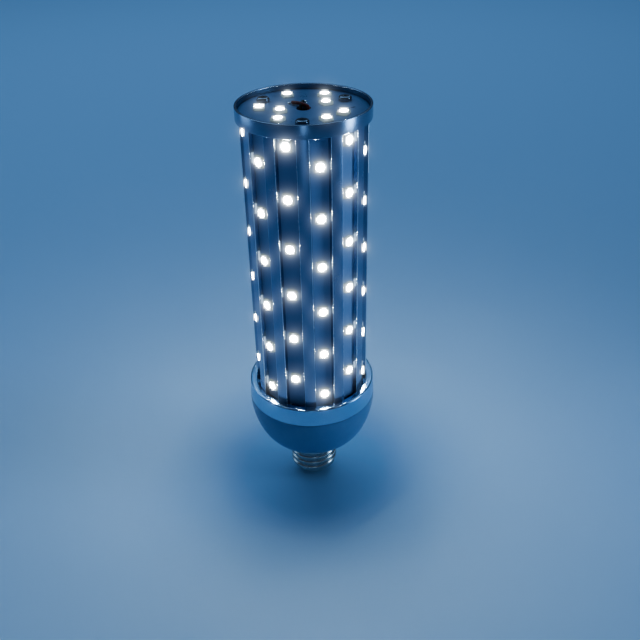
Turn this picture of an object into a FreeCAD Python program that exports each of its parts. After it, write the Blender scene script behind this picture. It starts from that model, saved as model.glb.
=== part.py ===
import FreeCAD, Part
import math
import os

# Screw-cap corn lamp: an extruded heat sink with twelve channels, a strip of six LEDs in each
# channel, a disc of eight LEDs on top, and a driver in a sleeve above the screw cap.
# Millimetres. The origin is on the axis, in the plane where the cap's rim meets the bowl.
# +Z runs up the axis to the disc of LEDs. A strip faces +X, and the others follow in equal steps.

os.makedirs("parts", exist_ok=True)

# Bowl and neck
bowl_height = 31.5
bowl_wall = 2.0
neck_radius = 14.8
spigot_length = 12.0
spigot_wall = 1.9
snap_height = 2.8
snap_wall = 1.1
snap_bead = 0.35
bowl_flare = 0.5

# Collar below the heat sink
collar_height = 10.0
ledge_width = 3.8
collar_edge_round = 0.9
collar_rim_wall = 1.4
socket_depth = 5.5
flange_thickness = 1.5
flange_margin = 0.2

# Heat sink
body_length = 144.0
land_radius = 29.8
channel_depth = 3.8
floor_wall = 1.7
land_edge_round = 0.35
lip_cover = 1.15
lip_flare = 0.75
wire_notch_depth = 1.3
foot_notch_depth = 3.4
lead_hole_radius = 1.2
lead_hole_rise = 1.6

# Ring and disc at the top
ring_height = 6.5
ring_overhang = 1.7
ring_lip = 1.2
ring_edge_round = 0.4
shelf_thickness = 0.8
shelf_width = 3.2
disc_recess = 2.6
disc_thickness = 1.6
disc_hole_radius = 3.4

# LED strips and LED packages. Strips of two kinds take turns: one has its LEDs nearer the top,
# the other nearer the foot. The spaces run from a strip's end to the middle of its end LED.
strip_count = 12
strip_width = 10.6
strip_thickness = 1.2
strip_end_gap = 0.1
leds_per_strip = 6
led_foot_spaces = (18.1, 8.55)
led_top_spaces = (4.25, 13.8)
led_size = 5.0
led_height = 1.6
led_corner_cut = 0.7

# LEDs on the disc: six on an outer circle and two on an inner one, both set in from the screws' circle
disc_outer_led_inset = 1.8
disc_outer_led_angles = (47.0, 99.0, 166.0, 223.0, 286.0, 318.0)
disc_inner_led_inset = 10.4
disc_inner_led_angles = (14.0, 191.0)

# Screws, their channels in the heat sink, and the collar's screws
screw_count = 3
screw_channel_inset = 2.3
screw_shank_radius = 1.5
screw_length = 10.0
screw_head_radius = 3.1
screw_head_height = 2.1
screw_head_round = 1.0
screw_point_radius = 0.3
screw_cross_width = 0.9
screw_cross_length = 3.6
screw_cross_depth = 1.2
screw_channel_wall = 1.6
screw_channel_slot = 1.7

# Screw cap, an E27: seven threads to the inch
thread_pitch = 3.629
thread_crest_radius = 13.1
thread_root_radius = 12.15
thread_ridge_width = 2.9
thread_run_out = 4.0
cap_band_radius = 13.2
cap_band_length = 4.6
cap_band_step = 1.0
cap_shell_length = 22.5
cap_shell_wall = 0.35
cap_end_taper = 2.4
insulator_top_radius = 10.2
insulator_height = 3.2
insulator_lip = 1.2
insulator_rim = 0.6
insulator_flange_height = 1.6
insulator_hole_radius = 1.2
contact_radius = 4.7
contact_thickness = 0.8
contact_proud = 0.4
contact_dome = 0.9

# Driver
sleeve_radius = 13.4
sleeve_wall = 0.8
sleeve_length = 96.0
sleeve_seat_height = 3.0
sleeve_seat_wall = 1.2
driver_board_thickness = 1.6
driver_board_foot = 3.0
driver_board_head = 4.0
driver_part_gap = 2.5
capacitor_radius = 5.0
capacitor_length = 20.0
transformer_size = (13.0, 9.0, 14.0)
transformer_limb = 3.0
transformer_winding_proud = 0.8
film_capacitor_size = (12.0, 6.0, 10.0)
film_capacitor_round = 0.6
rectifier_size = (8.0, 3.0, 6.5)
controller_size = (5.0, 1.6, 4.0)
fuse_radius = 1.7
fuse_length = 9.0
fuse_cap_step = 0.2
fuse_x = 6.0
choke_radius = 4.0
choke_length = 9.0

# Wires
lead_radius = 0.65
lead_bend = 1.6
lead_overlap = 4.0
lead_rise = 3.5
lead_pad_height = 1.7
strip_pad_x = 5.0
jumper_radius = 0.5
jumper_bend = 0.7
jumper_inset = 3.5
jumper_leg = 1.5
solder_radius = 1.4
solder_height = 1.3
disc_lead_x = 0.9
disc_lead_bend = 1.2
red_pad_radius = 9.4
red_pad_angle = 119.0
red_loop_height = 1.3
black_pad_radius = 7.7
black_pad_angle = 72.0
black_loop_height = 1.1

# Flats that stand for a curve in a turned outline, a thread or a wire
bowl_flats = 10
bowl_inside_flats = 6
edge_flats = 2
thread_flats = 4
dome_flats = 2
bend_flats = 2
wire_sides = 8

# How far a cut runs on past the face that it opens
cut_beyond = 1.0

# Clearances
sliding_fit = 0.1
turned_fit = 0.15
snap_fit = 0.1
screw_fit = 0.1
laid_gap = 0.05
board_fit = 0.1

# Heights that follow from these
seam_z = bowl_height
ledge_z = seam_z + collar_height
foot_z = ledge_z - socket_depth
flange_bottom_z = foot_z - flange_thickness
ring_bottom_z = ledge_z + body_length
top_z = ring_bottom_z + ring_height
disc_top_z = top_z - disc_recess
disc_bottom_z = disc_top_z - disc_thickness
shelf_bottom_z = disc_bottom_z - shelf_thickness
strip_top_z = shelf_bottom_z - wire_notch_depth - strip_end_gap
strip_bottom_z = foot_z + foot_notch_depth + strip_end_gap
sleeve_bottom_z = bowl_wall
sleeve_top_z = sleeve_bottom_z + sleeve_length
driver_bottom_z = sleeve_bottom_z + driver_board_foot
driver_top_z = sleeve_top_z - driver_board_head
fuse_z = driver_bottom_z + lead_overlap
film_capacitor_z = fuse_z + fuse_length + driver_part_gap
choke_z = film_capacitor_z + film_capacitor_size[2] + driver_part_gap
capacitor_z = choke_z + 2 * choke_radius + driver_part_gap
transformer_z = capacitor_z + capacitor_length + driver_part_gap
jumper_top_z = shelf_bottom_z - wire_notch_depth / 2
jumper_foot_z = foot_z + foot_notch_depth - wire_notch_depth / 2
lead_hole_z = foot_z + lead_hole_rise
insulator_tip_z = -cap_shell_length - insulator_height
contact_top_z = insulator_tip_z + contact_thickness

# Radii and distances from the axis that follow from these
ring_radius = land_radius + ring_overhang
collar_radius = land_radius + ledge_width
bowl_radius = collar_radius + bowl_flare
slot_floor = land_radius - channel_depth
bore_radius = slot_floor - floor_wall
screw_circle_radius = bore_radius - screw_channel_inset
disc_outer_led_radius = screw_circle_radius - disc_outer_led_inset
disc_inner_led_radius = screw_circle_radius - disc_inner_led_inset
flange_bore_radius = screw_circle_radius - screw_head_radius - flange_margin
strip_front = slot_floor + strip_thickness
lip_bottom = strip_front + turned_fit
disc_radius = ring_radius - ring_lip - turned_fit
shelf_bore_radius = land_radius - shelf_width + turned_fit
end_spigot_radius = shelf_bore_radius - turned_fit
slot_half_width = strip_width / 2 + sliding_fit
mouth_half_width = strip_width / 2 - lip_cover
screw_hole_radius = screw_shank_radius + screw_fit
screw_channel_radius = screw_hole_radius + screw_channel_wall
cap_bore_radius = thread_root_radius - cap_shell_wall
spigot_radius = cap_bore_radius - turned_fit
neck_bore_radius = spigot_radius - spigot_wall
sleeve_bore_radius = sleeve_radius - sleeve_wall
snap_bore_radius = bowl_radius - collar_rim_wall
driver_lead_y = driver_board_thickness / 2 + lead_radius + laid_gap

step_angle = 360.0 / strip_count
open_land = strip_count // 4
axis = FreeCAD.Vector(0, 0, 1)
centre = FreeCAD.Vector(0, 0, 0)


def vector(x, y, z):
    """A point or a direction."""
    return FreeCAD.Vector(x, y, z)


def turned_about_axis(shape, angle):
    """A copy of a shape, turned about the lamp's axis by an angle in degrees."""
    copy = shape.copy()
    copy.rotate(centre, axis, angle)
    return copy


def extruded_box(x_range, y_range, z_range):
    """A box between two values along each direction."""
    corner = vector(x_range[0], y_range[0], z_range[0])
    sizes = [high - low for low, high in (x_range, y_range, z_range)]
    return Part.makeBox(sizes[0], sizes[1], sizes[2], corner)


def rod(radius, bottom, top):
    """A cylinder on the lamp's axis between two heights."""
    return Part.makeCylinder(radius, top - bottom, vector(0, 0, bottom))


def turned_part(points):
    """The solid that a closed outline of (radius, height) points makes about the axis."""
    corners = [vector(radius, 0, height) for radius, height in points]
    outline = Part.makePolygon(corners + corners[:1])
    return Part.Face(outline).revolve(centre, axis, 360)


def flats_of_arc(start, middle, end, flats):
    """Points along the arc through three points, for a number of flats."""
    return Part.Arc(start, middle, end).toShape().discretize(flats + 1)


def rounded_corner(previous, corner, following, radius, flats):
    """The points of a round of one radius that replaces a corner between two straight runs."""
    into = (corner - previous).normalize()
    out = (following - corner).normalize()
    half_turn = into.getAngle(out) / 2
    reach = radius * math.tan(half_turn)
    towards_centre = (out - into).normalize()
    middle = corner + towards_centre * (radius / math.cos(half_turn) - radius)
    return flats_of_arc(corner - into * reach, middle, corner + out * reach, flats)


def turned_round(points, rounded, radius):
    """A turned part, some corners of which are rounded; these are given by their places in the list."""
    corners = [vector(distance, 0, height) for distance, height in points]
    outline = []
    for place, corner in enumerate(corners):
        if place in rounded:
            following = corners[(place + 1) % len(corners)]
            outline += rounded_corner(corners[place - 1], corner, following, radius, edge_flats)
        else:
            outline.append(corner)
    return turned_part([(corner.x, corner.z) for corner in outline])


def wire_run(points, radius, bend):
    """A wire along straight runs that are joined by bends of one radius, in flats with mitred ends."""
    path = [points[0]]
    for previous, corner, following in zip(points, points[1:], points[2:]):
        path += rounded_corner(previous, corner, following, bend, bend_flats)
    path.append(points[-1])
    circle = Part.makeCircle(radius, points[0], points[1] - points[0])
    section = Part.makePolygon(circle.discretize(wire_sides + 1))
    mitred = 1
    return Part.makePolygon(path).makePipeShell([section], True, False, mitred)


def strip_angle(index):
    """The direction that a strip faces, in degrees from +X."""
    return index * step_angle


def land_angle(index):
    """The direction of the land after a strip, in degrees from +X."""
    return (index + 0.5) * step_angle


def channel_section():
    """The outline that is cut from the extrusion for one strip: a slot under two flared lips."""
    surface = math.sqrt(land_radius ** 2 - (mouth_half_width + lip_flare) ** 2)
    slope = lip_flare / (surface - lip_bottom)
    beyond = land_radius + cut_beyond
    far_half_width = mouth_half_width + slope * (beyond - lip_bottom)
    side = [
        (slot_floor, slot_half_width),
        (lip_bottom, slot_half_width),
        (lip_bottom, mouth_half_width),
        (beyond, far_half_width),
    ]
    mirrored = [(distance, -offset) for distance, offset in reversed(side)]
    corners = [vector(distance, offset, 0) for distance, offset in side + mirrored]
    return Part.Face(Part.makePolygon(corners + corners[:1]))


def screw_angles():
    """The directions of the screws, each behind a land."""
    return [land_angle(0) + index * 360.0 / screw_count for index in range(screw_count)]


def extrusion(length):
    """The heat sink as it leaves the die: a bored bar with a channel for each strip."""
    along = vector(0, 0, length)
    wall = rod(land_radius, 0, length).cut(rod(bore_radius, 0, length))
    screw_wall = rod(screw_channel_radius, 0, length)
    screw_wall.translate(vector(screw_circle_radius, 0, 0))
    screw_hole = rod(screw_hole_radius, 0, length)
    screw_hole.translate(vector(screw_circle_radius, 0, 0))
    half_slot = screw_channel_slot / 2
    slot_start = screw_circle_radius - screw_channel_radius - cut_beyond
    slot = extruded_box((slot_start, screw_circle_radius), (-half_slot, half_slot), (0, length))
    channel = channel_section().extrude(along)
    wall = wall.fuse([turned_about_axis(screw_wall, angle) for angle in screw_angles()])
    openings = [turned_about_axis(screw_hole, angle) for angle in screw_angles()]
    openings += [turned_about_axis(slot, angle) for angle in screw_angles()]
    openings += [turned_about_axis(channel, strip_angle(index)) for index in range(strip_count)]
    return wall.cut(openings)


def land_corner_edges(solid):
    """The long edges where the lands meet the flared faces of the lips."""
    found = []
    for edge in solid.Edges:
        point = edge.valueAt(edge.FirstParameter)
        along = edge.tangentAt(edge.FirstParameter)
        on_surface = abs(math.hypot(point.x, point.y) - land_radius) < 0.01
        if on_surface and abs(along.z) > 0.99:
            found.append(edge)
    return found


def has_top_jumper(index):
    """Every other land is crossed by a jumper at the top, and the rest at the foot."""
    return index % 2 == 0


def has_foot_jumper(index):
    """The foot lacks one jumper: that pair of strips takes the driver's leads instead."""
    return index % 2 == 1 and index != open_land


def land_notch(index, bottom, top):
    """A cut across the end of one land, down to the end spigot, for a jumper."""
    half_width = land_radius * math.sin(math.radians(step_angle / 2))
    block = extruded_box(
        (end_spigot_radius, land_radius + cut_beyond), (-half_width, half_width), (bottom, top)
    )
    return turned_about_axis(block, land_angle(index))


def heat_sink():
    """The extrusion, with its corners eased, its top turned to a spigot and its ends notched."""
    body = extrusion(disc_bottom_z - foot_z)
    body.translate(vector(0, 0, foot_z))
    body = body.makeFillet(land_edge_round, land_corner_edges(body))
    end = disc_bottom_z + cut_beyond
    shoulder = rod(land_radius + cut_beyond, shelf_bottom_z, end)
    cuts = [shoulder.cut(rod(end_spigot_radius, shelf_bottom_z, end))]
    for index in range(strip_count):
        if has_top_jumper(index):
            cuts.append(land_notch(index, shelf_bottom_z - wire_notch_depth, end))
        if has_foot_jumper(index):
            cuts.append(land_notch(index, foot_z - cut_beyond, foot_z + foot_notch_depth))
    drill = Part.makeCylinder(
        lead_hole_radius, land_radius, vector(0, 0, lead_hole_z), vector(1, 0, 0)
    )
    cuts += [turned_about_axis(drill, strip_angle(n)) for n in (open_land, open_land + 1)]
    return body.cut(cuts)


def led_strip(index):
    """One strip board, slid into its channel."""
    board = extruded_box(
        (slot_floor, strip_front), (-strip_width / 2, strip_width / 2), (strip_bottom_z, strip_top_z)
    )
    return turned_about_axis(board, strip_angle(index))


def led_package():
    """An LED that faces +X with its back at the origin: a block with one corner cut."""
    half = led_size / 2
    corners = [
        vector(0, -half, -half),
        vector(0, half, -half),
        vector(0, half, half - led_corner_cut),
        vector(0, half - led_corner_cut, half),
        vector(0, -half, half),
    ]
    return Part.Face(Part.makePolygon(corners + corners[:1])).extrude(vector(led_height, 0, 0))


def strip_led_heights(index):
    """The heights of a strip's LEDs, for its kind of strip."""
    kind = index % 2
    first = strip_bottom_z + led_foot_spaces[kind]
    last = strip_top_z - led_top_spaces[kind]
    spacing = (last - first) / (leds_per_strip - 1)
    return [first + number * spacing for number in range(leds_per_strip)]


def strip_leds(index):
    """The LEDs of one strip, as separate solids."""
    packages = []
    for height in strip_led_heights(index):
        package = led_package()
        package.translate(vector(strip_front, 0, height))
        packages.append(turned_about_axis(package, strip_angle(index)))
    return Part.makeCompound(packages)


def disc_led(radius, angle):
    """One LED that faces up from the disc."""
    package = led_package()
    package.rotate(centre, vector(0, 1, 0), -90)
    package.translate(vector(radius, 0, disc_top_z))
    return turned_about_axis(package, angle)


def disc_leds():
    """The LEDs of the disc, as separate solids."""
    outer = [disc_led(disc_outer_led_radius, angle) for angle in disc_outer_led_angles]
    inner = [disc_led(disc_inner_led_radius, angle) for angle in disc_inner_led_angles]
    return Part.makeCompound(outer + inner)


def disc_board():
    """The round board, with holes for its screws and for its leads."""
    board = rod(disc_radius, disc_bottom_z, disc_top_z)
    bottom = disc_bottom_z - cut_beyond
    top = disc_top_z + cut_beyond
    hole = rod(screw_shank_radius + 2 * screw_fit, bottom, top)
    hole.translate(vector(screw_circle_radius, 0, 0))
    holes = [turned_about_axis(hole, angle) for angle in screw_angles()]
    holes.append(rod(disc_hole_radius, bottom, top))
    return board.cut(holes)


def top_ring():
    """The ring round the disc: a lip above, a shelf under the disc, and a skirt over the lands."""
    inner = ring_radius - ring_lip
    skirt_bore = land_radius + turned_fit
    outline = [
        (ring_radius, ring_bottom_z),
        (ring_radius, top_z),
        (inner, top_z),
        (inner, disc_bottom_z),
        (shelf_bore_radius, disc_bottom_z),
        (shelf_bore_radius, shelf_bottom_z),
        (skirt_bore, shelf_bottom_z),
        (skirt_bore, ring_bottom_z),
    ]
    return turned_round(outline, (0, 1, 2), ring_edge_round)


def bottom_collar():
    """The collar: a ledge and socket for the heat sink, a screwed flange, and a bore for the bowl."""
    socket = land_radius + turned_fit
    bead_half = snap_height / 4
    bead_z = (seam_z + flange_bottom_z) / 2
    groove = snap_bore_radius + snap_bead
    outline = [
        (bowl_radius, seam_z),
        (collar_radius, ledge_z),
        (socket, ledge_z),
        (socket, foot_z),
        (flange_bore_radius, foot_z),
        (flange_bore_radius, flange_bottom_z),
        (snap_bore_radius, flange_bottom_z),
        (snap_bore_radius, bead_z + bead_half),
        (groove, bead_z),
        (snap_bore_radius, bead_z - bead_half),
        (snap_bore_radius, seam_z),
    ]
    collar = turned_round(outline, (1,), collar_edge_round)
    hole_radius = screw_shank_radius + 2 * screw_fit
    hole = rod(hole_radius, flange_bottom_z - cut_beyond, foot_z + cut_beyond)
    hole.translate(vector(screw_circle_radius, 0, 0))
    return collar.cut([turned_about_axis(hole, angle) for angle in screw_angles()])


def quarter_bowl(radial, axial, flats):
    """A quarter ellipse that is turned about the axis, from the neck to the seam, in flats."""
    middle = vector(neck_radius, 0, seam_z)
    widest = vector(neck_radius + radial, 0, seam_z)
    lowest = vector(neck_radius, 0, seam_z - axial)
    quarter = Part.Arc(Part.Ellipse(lowest, widest, middle), 0, math.pi / 2).toShape()
    curve = [(point.x, point.z) for point in quarter.discretize(flats + 1)]
    return turned_part(curve + [(0, seam_z), (0, seam_z - axial)])


def bowl_housing():
    """The moulded bowl: a thin wall, a snap rim above, a seat for the sleeve and the cap's spigot."""
    radial = bowl_radius - neck_radius
    outside = quarter_bowl(radial, bowl_height, bowl_flats)
    inside = quarter_bowl(radial - bowl_wall, bowl_height - bowl_wall, bowl_inside_flats)
    rim_radius = snap_bore_radius - snap_fit
    bead_half = snap_height / 4
    bead_z = (seam_z + flange_bottom_z) / 2
    rim = turned_part([
        (rim_radius, seam_z - bowl_wall),
        (rim_radius, bead_z - bead_half),
        (rim_radius + snap_bead, bead_z),
        (rim_radius, bead_z + bead_half),
        (rim_radius, seam_z + snap_height),
        (rim_radius - snap_wall, seam_z + snap_height),
        (rim_radius - snap_wall, seam_z - bowl_wall),
    ])
    seat_bore = sleeve_radius + turned_fit
    seat = rod(seat_bore + sleeve_seat_wall, bowl_wall / 2, bowl_wall + sleeve_seat_height)
    seat = seat.cut(rod(seat_bore, bowl_wall, bowl_wall + sleeve_seat_height + cut_beyond))
    spigot = rod(spigot_radius, -spigot_length, bowl_wall)
    body = outside.cut(inside).fuse([rim, seat, spigot])
    body = body.cut(rod(neck_bore_radius, -spigot_length - cut_beyond, bowl_wall + cut_beyond))
    return body.removeSplitter()


def pan_screw():
    """A cross-recessed screw: the underside of its head is at the origin, its shank runs down."""
    outline = [
        (0, -screw_length),
        (screw_point_radius, -screw_length),
        (screw_shank_radius, screw_shank_radius - screw_length),
        (screw_shank_radius, 0),
        (screw_head_radius, 0),
        (screw_head_radius, screw_head_height),
        (0, screw_head_height),
    ]
    screw = turned_round(outline, (5,), screw_head_round)
    half = screw_cross_width / 2
    reach = screw_cross_length / 2
    depth = (screw_head_height - screw_cross_depth, screw_head_height + cut_beyond)
    cross = extruded_box((-reach, reach), (-half, half), depth)
    cross = cross.fuse(extruded_box((-half, half), (-reach, reach), depth))
    return screw.cut(cross)


def screw_set(height, upside_down):
    """The screws of one joint, as separate solids, with their heads at a height."""
    screws = []
    for angle in screw_angles():
        screw = pan_screw()
        if upside_down:
            screw.rotate(centre, vector(1, 0, 0), 180)
        screw.translate(vector(screw_circle_radius, 0, height))
        screws.append(turned_about_axis(screw, angle))
    return Part.makeCompound(screws)


def jumper(index, level, leg_end):
    """A short wire across one land, between the facing pads of two strips."""
    half_step = math.radians(step_angle / 2)
    distance = strip_front + jumper_radius + laid_gap
    out = distance * math.cos(half_step) + jumper_inset * math.sin(half_step)
    side = distance * math.sin(half_step) - jumper_inset * math.cos(half_step)
    points = [
        vector(out, -side, leg_end),
        vector(out, -side, level),
        vector(out, side, level),
        vector(out, side, leg_end),
    ]
    return turned_about_axis(wire_run(points, jumper_radius, jumper_bend), land_angle(index))


def top_jumpers():
    """The jumpers under the ring's skirt."""
    leg_end = jumper_top_z - jumper_leg
    lands = [index for index in range(strip_count) if has_top_jumper(index)]
    return Part.makeCompound([jumper(index, jumper_top_z, leg_end) for index in lands])


def foot_jumpers():
    """The jumpers in the collar's socket."""
    leg_end = jumper_foot_z + jumper_leg
    lands = [index for index in range(strip_count) if has_foot_jumper(index)]
    return Part.makeCompound([jumper(index, jumper_foot_z, leg_end) for index in lands])


def strip_lead(index, pad_x):
    """A lead from a strip's foot, through the wall of the heat sink, up to the driver's head."""
    on_pad = strip_front + lead_radius + laid_gap
    inside = (bore_radius + sleeve_radius) / 2
    above = sleeve_top_z + lead_rise
    outer_run = [
        vector(on_pad, 0, strip_bottom_z + lead_pad_height),
        vector(on_pad, 0, lead_hole_z),
        vector(inside, 0, lead_hole_z),
        vector(inside, 0, above),
    ]
    turn = FreeCAD.Rotation(axis, strip_angle(index))
    points = [turn.multVec(point) for point in outer_run]
    points.append(vector(pad_x, driver_lead_y, above))
    points.append(vector(pad_x, driver_lead_y, driver_top_z - lead_overlap))
    return wire_run(points, lead_radius, lead_bend)


def strip_lead_red():
    """The lead to the first strip of the chain."""
    return strip_lead(open_land, strip_pad_x)


def strip_lead_black():
    """The lead from the last strip of the chain."""
    return strip_lead(open_land + 1, -strip_pad_x)


def polar(radius, angle, height):
    """A point from its radius, its direction in degrees and its height."""
    return vector(
        radius * math.cos(math.radians(angle)), radius * math.sin(math.radians(angle)), height
    )


def disc_lead(side, pad_angle, pad_radius, loop_height):
    """A lead from the driver's head, up through the disc's hole and over to its pad."""
    x = disc_lead_x
    y = side * driver_lead_y
    points = [
        vector(x, y, driver_top_z - lead_overlap),
        vector(x, y, disc_top_z + loop_height),
        polar(pad_radius, pad_angle, disc_top_z + lead_radius + laid_gap),
    ]
    return wire_run(points, lead_radius, disc_lead_bend)


def disc_lead_red():
    """The lead that shows red on the disc."""
    return disc_lead(-1, red_pad_angle, red_pad_radius, red_loop_height)


def disc_lead_black():
    """The other lead of the disc."""
    return disc_lead(1, black_pad_angle, black_pad_radius, black_loop_height)


def solder_dome(radius, angle):
    """A low dome of solder on the disc."""
    ball_radius = (solder_radius ** 2 + solder_height ** 2) / (2 * solder_height)
    slope = math.asin(solder_radius / ball_radius) / 2
    shoulder = vector(
        ball_radius * math.sin(slope), 0, solder_height - ball_radius * (1 - math.cos(slope))
    )
    foot = vector(solder_radius, 0, 0)
    crown = flats_of_arc(foot, shoulder, vector(0, 0, solder_height), dome_flats)
    dome = turned_part([(0, 0)] + [(point.x, point.z) for point in crown])
    dome.translate(polar(radius, angle, disc_top_z))
    return dome


def disc_solder():
    """The solder of the disc's two leads, each dome closed round the end of its lead."""
    red = solder_dome(red_pad_radius, red_pad_angle).cut(disc_lead_red())
    black = solder_dome(black_pad_radius, black_pad_angle).cut(disc_lead_black())
    return Part.makeCompound([red, black])


def live_lead():
    """The lead from the driver's foot down the axis to the centre contact."""
    points = [
        vector(0, driver_lead_y, driver_bottom_z + lead_overlap),
        vector(0, driver_lead_y, -spigot_length / 3),
        vector(0, 0, -spigot_length),
        vector(0, 0, contact_top_z + laid_gap),
    ]
    return wire_run(points, lead_radius, lead_bend)


def neutral_lead():
    """The lead from the driver's foot, under the end of the spigot, out to the cap's shell."""
    below = -spigot_length - 2 * lead_radius
    points = [
        vector(0, -driver_lead_y, driver_bottom_z + lead_overlap),
        vector(0, -driver_lead_y, -spigot_length / 2),
        vector(0, -neck_bore_radius / 2, below),
        vector(0, laid_gap - cap_bore_radius, below),
    ]
    return wire_run(points, lead_radius, lead_bend)


def driver_sleeve():
    """The insulating tube round the driver."""
    tube = rod(sleeve_radius, sleeve_bottom_z, sleeve_top_z)
    return tube.cut(rod(sleeve_bore_radius, sleeve_bottom_z, sleeve_top_z))


def driver_board():
    """The driver's board, held by its long edges in the sleeve."""
    half_thickness = driver_board_thickness / 2
    half_width = math.sqrt(sleeve_bore_radius ** 2 - half_thickness ** 2) - board_fit
    return extruded_box(
        (-half_width, half_width), (-half_thickness, half_thickness), (driver_bottom_z, driver_top_z)
    )


def driver_block(size, bottom, side):
    """A block of (width, depth, height) on one side of the board."""
    width, depth, height = size
    half = driver_board_thickness / 2
    y_range = (half, half + depth) if side > 0 else (-half - depth, -half)
    return extruded_box((-width / 2, width / 2), y_range, (bottom, bottom + height))


def driver_fuse():
    """The fusible resistor at the mains end: a small cylinder with two caps."""
    y = driver_board_thickness / 2 + fuse_radius + laid_gap
    cap_length = fuse_length / 5
    body = rod(fuse_radius - fuse_cap_step, fuse_z, fuse_z + fuse_length)
    low = rod(fuse_radius, fuse_z, fuse_z + cap_length)
    high = rod(fuse_radius, fuse_z + fuse_length - cap_length, fuse_z + fuse_length)
    fuse = body.fuse([low, high])
    fuse.translate(vector(fuse_x, y, 0))
    return fuse


def driver_film_capacitor():
    """The box capacitor across the mains, with its upright edges eased."""
    block = driver_block(film_capacitor_size, film_capacitor_z, 1)
    upright = [edge for edge in block.Edges if abs(edge.tangentAt(0).z) > 0.99]
    return block.makeFillet(film_capacitor_round, upright)


def driver_choke():
    """The filter choke: a dumbbell of ferrite and its winding, on its end on the board."""
    end = choke_length / 6
    dumbbell = turned_part([
        (0, 0),
        (choke_radius, 0),
        (choke_radius, end),
        (choke_radius - end, end),
        (choke_radius - end, choke_length - end),
        (choke_radius, choke_length - end),
        (choke_radius, choke_length),
        (0, choke_length),
    ])
    dumbbell.rotate(centre, vector(1, 0, 0), -90)
    dumbbell.translate(vector(0, driver_board_thickness / 2, choke_z + choke_radius))
    return dumbbell


def driver_capacitor():
    """The electrolytic capacitor, lying along the board, with a crimped neck near its foot."""
    y = driver_board_thickness / 2 + capacitor_radius + laid_gap
    neck = capacitor_length / 8
    crimp = capacitor_radius / 10
    can = turned_part([
        (0, 0),
        (capacitor_radius, 0),
        (capacitor_radius, neck),
        (capacitor_radius - crimp, neck + crimp),
        (capacitor_radius, neck + 2 * crimp),
        (capacitor_radius, capacitor_length),
        (0, capacitor_length),
    ])
    can.translate(vector(0, y, capacitor_z))
    return can


def driver_transformer_core():
    """The transformer's core: a frame of ferrite, open through the middle for the winding."""
    core = driver_block(transformer_size, transformer_z, 1)
    width, depth, height = transformer_size
    window_width = width - 2 * transformer_limb
    window = extruded_box(
        (-window_width / 2, window_width / 2),
        (0, 2 * depth),
        (transformer_z + transformer_limb, transformer_z + height - transformer_limb),
    )
    return core.cut(window)


def driver_transformer_winding():
    """The transformer's winding, which stands a little proud of the core."""
    width, depth, height = transformer_size
    size = (
        width - 2 * transformer_limb - 2 * sliding_fit,
        depth + transformer_winding_proud,
        height - 2 * transformer_limb - 2 * sliding_fit,
    )
    winding = driver_block(size, transformer_z + transformer_limb + sliding_fit, 1)
    upright = [edge for edge in winding.Edges if abs(edge.tangentAt(0).z) > 0.99]
    outer = [edge for edge in upright if edge.valueAt(0).y > depth / 2]
    return winding.makeFillet(transformer_winding_proud, outer)


def driver_rectifier():
    """The bridge rectifier on the back of the board."""
    return driver_block(rectifier_size, film_capacitor_z, -1)


def driver_controller():
    """The switching controller on the back of the board."""
    return driver_block(controller_size, capacitor_z, -1)


def thread_ridge(bottom, top):
    """The rolled thread: a rounded ridge that runs up between two heights, half sunk in the wall."""
    half = thread_ridge_width / 2
    foot_radius = thread_root_radius - cap_shell_wall / 2
    foot_low = vector(foot_radius, 0, -half)
    foot_high = vector(foot_radius, 0, half)
    crown = flats_of_arc(foot_low, vector(thread_crest_radius, 0, 0), foot_high, thread_flats)
    section = Part.makePolygon(crown + crown[:1])
    spine = Part.makeHelix(thread_pitch, top - bottom, thread_root_radius)
    ridge = Part.Wire(spine).makePipeShell([section], True, True)
    ridge.translate(vector(0, 0, bottom))
    return ridge


def screw_cap_shell():
    """The cap's shell: a smooth band, a thread that runs out below, and a tapered end."""
    end = -cap_shell_length
    taper_start = end + cap_end_taper
    end_radius = insulator_top_radius + cap_shell_wall
    outside = rod(thread_root_radius, end, -cap_band_length / 2)
    outside = outside.fuse(thread_ridge(taper_start, -cap_band_length))
    slope = (thread_root_radius - end_radius) / cap_end_taper
    upper_radius = end_radius + slope * cap_shell_length
    taper = Part.makeCone(end_radius, upper_radius, cap_shell_length, vector(0, 0, end))
    outside = outside.cut(rod(upper_radius, end, end + thread_run_out).cut(taper))
    band = turned_part([
        (cap_bore_radius, -cap_band_length - cap_band_step),
        (thread_root_radius, -cap_band_length - cap_band_step),
        (cap_band_radius, -cap_band_length),
        (cap_band_radius, 0),
        (cap_bore_radius, 0),
    ])
    inside = turned_part([
        (0, end - cut_beyond),
        (insulator_top_radius - insulator_lip, end - cut_beyond),
        (insulator_top_radius - insulator_lip, end + cap_shell_wall),
        (insulator_top_radius, end + cap_shell_wall),
        (cap_bore_radius, taper_start),
        (cap_bore_radius, cut_beyond),
        (0, cut_beyond),
    ])
    return outside.fuse(band).cut(inside).removeSplitter()


def cap_insulator():
    """The cone that holds the centre contact apart from the shell, with a hole for the live lead."""
    end = -cap_shell_length
    flange_radius = insulator_top_radius - sliding_fit
    through_radius = insulator_top_radius - insulator_lip - sliding_fit
    seat_radius = contact_radius + sliding_fit
    return turned_part([
        (insulator_hole_radius, contact_top_z),
        (seat_radius, contact_top_z),
        (seat_radius, insulator_tip_z),
        (seat_radius + insulator_rim, insulator_tip_z),
        (through_radius, end),
        (through_radius, end + cap_shell_wall),
        (flange_radius, end + cap_shell_wall),
        (through_radius, end + insulator_flange_height),
        (insulator_hole_radius, end + insulator_flange_height),
    ])


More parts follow.
